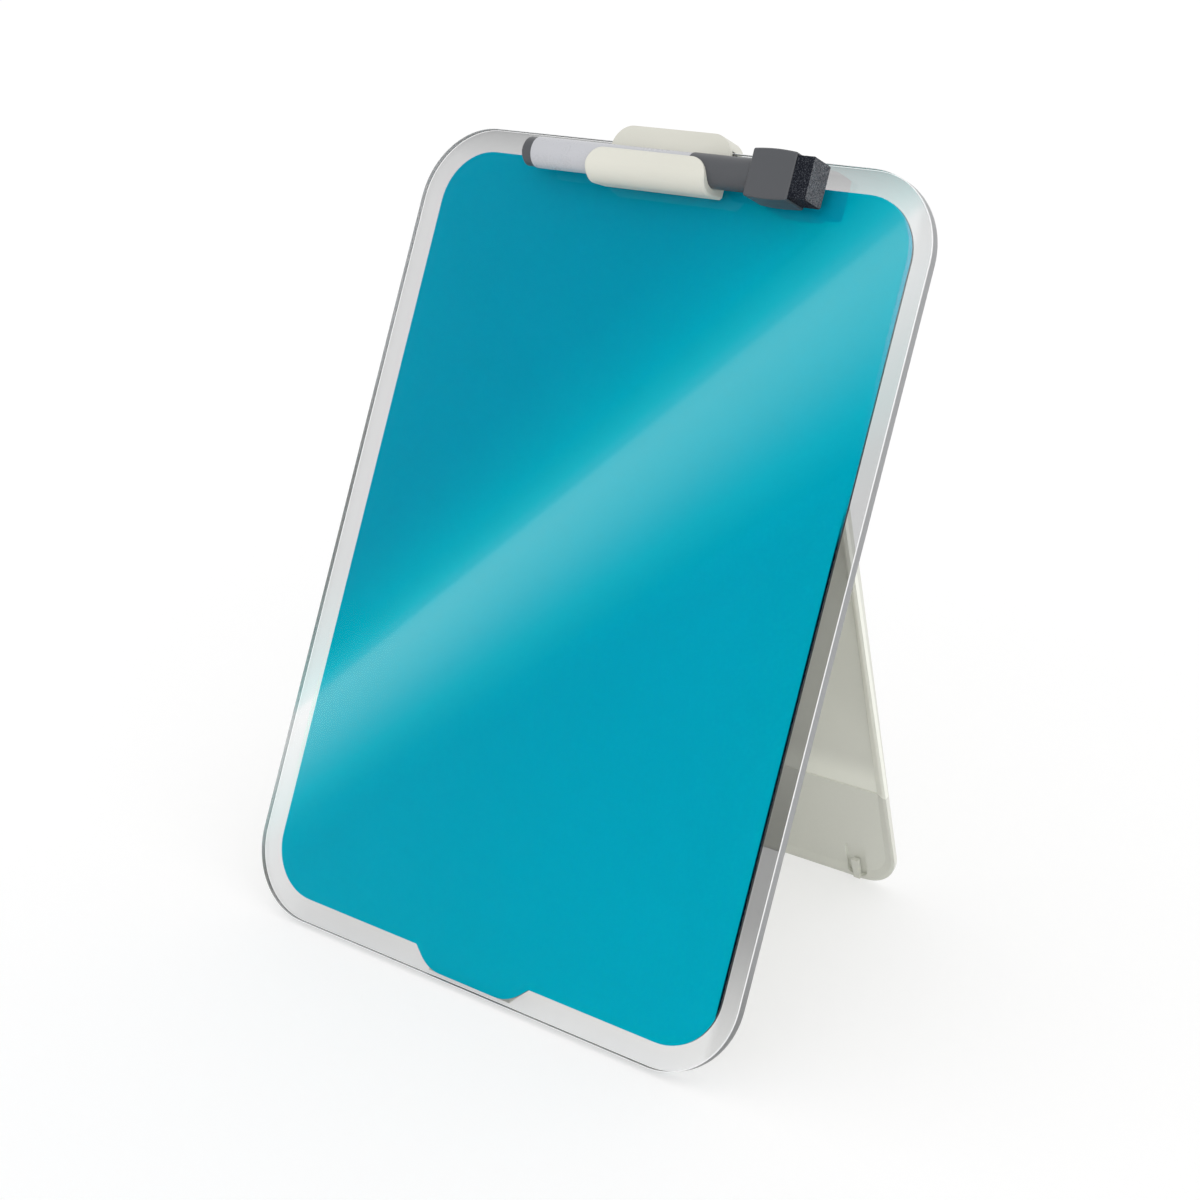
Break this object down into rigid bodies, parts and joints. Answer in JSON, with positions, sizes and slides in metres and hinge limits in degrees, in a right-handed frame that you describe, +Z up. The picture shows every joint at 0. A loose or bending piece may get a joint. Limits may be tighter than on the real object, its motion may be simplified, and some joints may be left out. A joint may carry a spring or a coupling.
{
  "type": "magnetic desk whiteboard easel",
  "caption": "Desk easel with a clear, magnetic writing panel on a folding rear leg, and a sliding top clip that holds a marker with an eraser cap.",
  "frame": {"origin": "the desk's surface under the middle of the front foot", "axes": "+X to the board's right seen from the front, +Y back towards the leg, +Z up from the desk, with the leg open"},
  "size_m": [0.215, 0.1588, 0.2846],
  "materials": {
    "glass": "polished",
    "teal_film": "gloss",
    "sheet_steel": "matte",
    "foam": "matte",
    "off_white_plastic": "satin",
    "light_rubber": "matte",
    "pin_steel": "plain",
    "liner_plastic": "matte",
    "barrel_plastic": "gloss",
    "reservoir_fibre": "matte",
    "holder_plastic": "satin",
    "nib_felt": "matte",
    "dark_plastic": "satin",
    "black_felt": "matte"
  },
  "bodies": {
    "board": {"glass_panel": "glass", "colour_film": "teal_film", "steel_sheet": "sheet_steel", "foam_pads": "foam", "back_cover": "off_white_plastic", "front_foot": "light_rubber", "hinge_cap_left": "off_white_plastic", "hinge_cap_right": "off_white_plastic", "hinge_screws": "pin_steel"},
    "leg": {"support_leg": "off_white_plastic", "hinge_pin_left": "pin_steel", "hinge_pin_right": "pin_steel", "leg_foot_left": "light_rubber", "leg_foot_right": "light_rubber"},
    "clip": {"pen_clip": "off_white_plastic", "clip_liner": "liner_plastic"},
    "marker": {"marker_barrel": "barrel_plastic", "end_plug": "dark_plastic", "ink_reservoir": "reservoir_fibre", "nib_holder": "holder_plastic", "marker_nib": "nib_felt"},
    "cap": {"marker_cap": "dark_plastic", "inner_cap": "holder_plastic", "felt_eraser": "black_felt"}
  },
  "joints": [
    {"name": "leg_fold", "type": "hinge", "parent": "board", "child": "leg", "pos_m": [0, 0.0868, 0.19257], "axis": [-1, 0, 0], "range_deg": [0, 42.15]},
    {"name": "clip_slide", "type": "slide", "parent": "board", "child": "clip", "axis": [1, 0, 0], "range_m": [-0.054, 0.054]},
    {"name": "marker_lift", "type": "slide", "parent": "clip", "child": "marker", "axis": [0, 0.4083, 0.9128], "range_m": [0, 0.04]},
    {"name": "cap_pull", "type": "slide", "parent": "marker", "child": "cap", "axis": [1, 0, 0], "range_m": [0, 0.035]}
  ]
}
